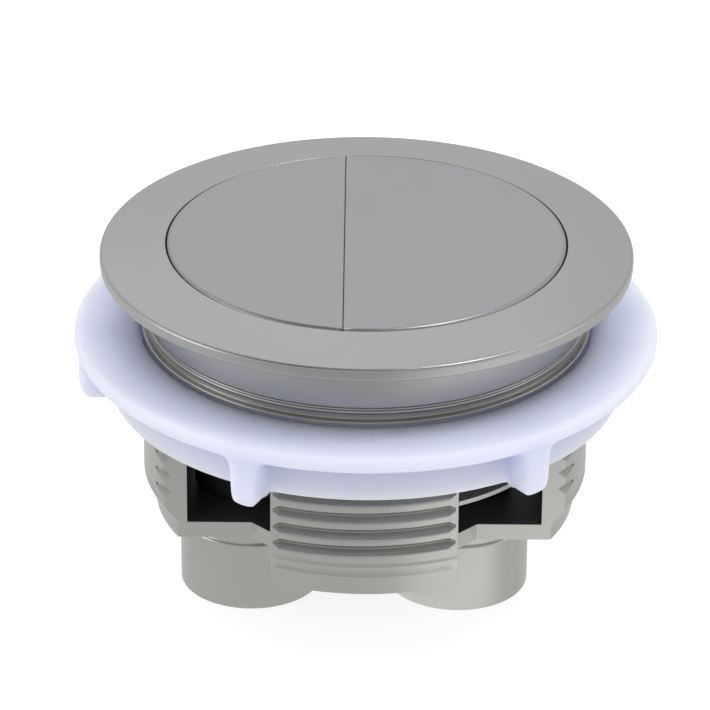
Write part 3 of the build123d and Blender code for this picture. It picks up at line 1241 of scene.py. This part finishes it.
def floor_finish(sizes):
    """Pale floor with a soft shadow, open from below, which reflections see as a painted glow."""
    material = bpy.data.materials.new("pale_floor")
    tree = empty_tree(material)
    ray = node_at(tree, "ShaderNodeLightPath").outputs
    tone = node_at(tree, "ShaderNodeMix", {
        "Factor": ray["Is Camera Ray"],
        "A": (*[sizes.floor_tone] * 3, 1.0),
        "B": (*[sizes.floor_seen] * 3, 1.0),
    }, data_type="RGBA")
    paper = node_at(tree, "ShaderNodeBsdfDiffuse", {"Color": tone.outputs["Result"]})
    seen = math_at(tree, "MAXIMUM", ray["Is Camera Ray"], ray["Is Transmission Ray"])
    lift = math_at(tree, "MULTIPLY", seen, sizes.floor_glow)
    glow = node_at(tree, "ShaderNodeEmission", {"Strength": lift})
    lit = node_at(
        tree, "ShaderNodeAddShader", {0: paper.outputs["BSDF"], 1: glow.outputs["Emission"]}
    )
    # Glossy rays see this painted reflection glow and not the lit floor
    mirrored = node_at(tree, "ShaderNodeEmission", {"Strength": painted_floor_reflection(tree, sizes)})
    shown = node_at(tree, "ShaderNodeMixShader", {
        "Fac": ray["Is Glossy Ray"],
        1: lit.outputs["Shader"],
        2: mirrored.outputs["Emission"],
    })
    open_side = node_at(tree, "ShaderNodeMixShader", {
        "Fac": node_at(tree, "ShaderNodeNewGeometry").outputs["Backfacing"],
        1: shown.outputs["Shader"],
        2: node_at(tree, "ShaderNodeBsdfTransparent").outputs["BSDF"],
    })
    node_at(tree, "ShaderNodeOutputMaterial", {"Surface": open_side.outputs["Shader"]})
    return material


def model_floor(sizes):
    """Wide floor on which the guide tubes stand."""
    floor = start_mesh("floor", bpy.ops.mesh.primitive_plane_add, size=FLOOR_WIDTH)
    bpy.ops.mesh.subdivide(number_cuts=3)
    leave_edit_mode()
    floor.data.materials.append(floor_finish(sizes))


def model_card(sizes):
    """Painted reflection: dark glowing card overhead, in front of the object, which only reflections
    show and which blocks no light.
    """
    card = start_mesh("dark_card", bpy.ops.mesh.primitive_plane_add, size=1.0)
    bpy.ops.transform.resize(value=CARD_SIZE)
    shift(CARD_PLACE)
    leave_edit_mode()
    for ray in ("camera", "diffuse", "transmission", "shadow"):
        setattr(card, "visible_" + ray, False)
    material = bpy.data.materials.new("dark_card")
    tree = empty_tree(material)
    tone = node_at(tree, "ShaderNodeEmission", {"Strength": sizes.card_reflection_tone})
    node_at(tree, "ShaderNodeOutputMaterial", {"Surface": tone.outputs["Emission"]})
    card.data.materials.append(material)


def light_world(sizes):
    """Even light from all round."""
    world = bpy.data.worlds.new("studio")
    bpy.context.scene.world = world
    tree = empty_tree(world)
    light = node_at(tree, "ShaderNodeBackground", {"Strength": sizes.world_light})
    node_at(tree, "ShaderNodeOutputWorld", {"Surface": light.outputs["Background"]})


def add_lamp(name, place, aim, size, power, mirrored):
    """Square soft lamp that points at a place, and shows in reflections if mirrored."""
    leave_edit_mode()
    bpy.ops.object.light_add(type="AREA", location=place)
    lamp = bpy.context.object
    lamp.name = name
    lamp.data.shape = "SQUARE"
    lamp.data.size = size
    lamp.data.energy = power
    lamp.visible_glossy = mirrored
    lamp.rotation_euler = (Vector(aim) - Vector(place)).to_track_quat("-Z", "Y").to_euler()


def add_camera(sizes):
    """Camera at the photograph's angle."""
    leave_edit_mode()
    bpy.ops.object.camera_add(location=sizes.camera_place)
    camera = bpy.context.object
    camera.name = "camera"
    camera.data.lens = sizes.camera_lens
    camera.data.clip_start = 0.01
    camera.data.clip_end = 20.0
    aim = Euler((pi / 2 - sizes.camera_pitch, 0, sizes.camera_yaw)).to_matrix()
    camera.rotation_euler = (aim @ Matrix.Rotation(sizes.camera_roll, 3, "Z")).to_euler()
    bpy.context.scene.camera = camera


# Operators


class PUSHBUTTON_OT_housing(Operator):
    """Models the housing and plates it."""

    bl_idname = "push_button.housing"
    bl_label = "Housing"

    def execute(self, context):
        sizes = context.scene.push_button_housing
        _, _, seat, foot = housing_levels(sizes)
        floor = foot + sizes.floor_thickness
        finishes = context.scene.push_button_finishes
        # Inside the bore, from floor to seat, the plating gives way to near-black moulding: bare
        # plastic and painted shade
        finish = nickel_finish(
            "plated_housing",
            finishes,
            finishes.nickel,
            finishes.bare_moulding_and_shade,
            seat - CLEAR / 2,
            (sizes.bore_radius + CLEAR / 2, floor - CLEAR / 2, seat + CLEAR),
        )
        settle(model_housing(sizes), "housing", "satin_nickel_plate", finish, "housing")
        return {"FINISHED"}


class PUSHBUTTON_OT_lock_nut(Operator):
    """Models the white lock nut."""

    bl_idname = "push_button.lock_nut"
    bl_label = "Lock nut"

    def execute(self, context):
        nut = model_lock_nut(context.scene.push_button_nut)
        finish = nut_finish(context.scene.push_button_finishes)
        settle(nut, "lock_nut", "white_nut_plastic", finish, "lock_nut")
        return {"FINISHED"}


class PUSHBUTTON_OT_buttons(Operator):
    """Models the half-flush and full-flush buttons."""

    bl_idname = "push_button.buttons"
    bl_label = "Buttons"

    def execute(self, context):
        sizes = context.scene.push_button_buttons
        plate_foot = HOUSING_HIGH.z - sizes.plate
        lip_top = CAP_BOX["full_flush"][0].z + sizes.lip_height
        finishes = context.scene.push_button_finishes
        # Below the plate and above the lip, painted shade takes the place of the plating
        finish = nickel_finish(
            "plated_button",
            finishes,
            finishes.button_nickel,
            finishes.painted_tab_shade,
            plate_foot,
            (CAP_RADIUS + sizes.nib_reach + CLEAR, lip_top, plate_foot),
        )
        for side in SIDES:
            name = side + "_cap"
            settle(model_cap(side, sizes), side + "_button", "satin_nickel_plate", finish, name)
        return {"FINISHED"}


class PUSHBUTTON_OT_springs(Operator):
    """Models the return springs."""

    bl_idname = "push_button.springs"
    bl_label = "Springs"

    def execute(self, context):
        sizes = context.scene.push_button_springs
        finish = steel_finish(context.scene.push_button_finishes)
        for side in SIDES:
            spring = model_spring(side, sizes)
            settle(spring, "housing", "spring_steel", finish, side + "_spring")
            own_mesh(spring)
        return {"FINISHED"}


class PUSHBUTTON_OT_plungers(Operator):
    """Gives the plungers their black plastic."""

    bl_idname = "push_button.plungers"
    bl_label = "Plungers"

    def execute(self, context):
        finish = plunger_finish(context.scene.push_button_finishes)
        for side in SIDES:
            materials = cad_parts[side + "_plunger"].data.materials
            materials.clear()
            materials.append(finish)
        return {"FINISHED"}


class PUSHBUTTON_OT_stage(Operator):
    """Sets up the floor, the lights and the camera."""

    bl_idname = "push_button.stage"
    bl_label = "Stage"

    def execute(self, context):
        sizes = context.scene.push_button_stage
        model_floor(sizes)
        model_card(sizes)
        light_world(sizes)
        middle = (0, 0, HOUSING_HIGH.z / 2)
        for name, (place, size, mirrored) in LAMPS.items():
            watts = getattr(sizes, name + "_power")
            add_lamp(name + "_lamp", place, middle, size, watts, mirrored)
        add_camera(sizes)
        context.scene.view_settings.view_transform = "Standard"
        return {"FINISHED"}


class PUSHBUTTON_PT_sidebar(Panel):
    """Sidebar list of the push button's pieces and sizes."""

    bl_label = "Push button"
    bl_idname = "PUSHBUTTON_PT_sidebar"
    bl_space_type = "VIEW_3D"
    bl_region_type = "UI"
    bl_category = "Push button"

    def draw(self, context):
        for operator in OPERATORS:
            self.layout.operator(operator.bl_idname)
        for attribute, group in SETTINGS.items():
            box = self.layout.box()
            box.label(text=group.__doc__)
            for name in group.__annotations__:
                box.prop(getattr(context.scene, attribute), name)


SETTINGS = {
    "push_button_housing": HousingSizes,
    "push_button_nut": NutSizes,
    "push_button_buttons": ButtonSizes,
    "push_button_springs": SpringSizes,
    "push_button_finishes": Finishes,
    "push_button_stage": StageSizes,
}
OPERATORS = (
    PUSHBUTTON_OT_housing,
    PUSHBUTTON_OT_lock_nut,
    PUSHBUTTON_OT_buttons,
    PUSHBUTTON_OT_springs,
    PUSHBUTTON_OT_plungers,
    PUSHBUTTON_OT_stage,
)


def register():
    """Registers the settings, the operators and the sidebar."""
    for attribute, group in SETTINGS.items():
        bpy.utils.register_class(group)
        setattr(bpy.types.Scene, attribute, PointerProperty(type=group))
    for operator in OPERATORS:
        bpy.utils.register_class(operator)
    bpy.utils.register_class(PUSHBUTTON_PT_sidebar)


def unregister():
    """Removes what register added."""
    bpy.utils.unregister_class(PUSHBUTTON_PT_sidebar)
    for operator in reversed(OPERATORS):
        bpy.utils.unregister_class(operator)
    for attribute, group in SETTINGS.items():
        delattr(bpy.types.Scene, attribute)
        bpy.utils.unregister_class(group)


def main():
    """Builds every piece and the stage."""
    register()
    bpy.ops.push_button.housing()
    bpy.ops.push_button.lock_nut()
    bpy.ops.push_button.buttons()
    bpy.ops.push_button.springs()
    bpy.ops.push_button.plungers()
    bpy.ops.push_button.stage()


if __name__ == "__main__":
    main()
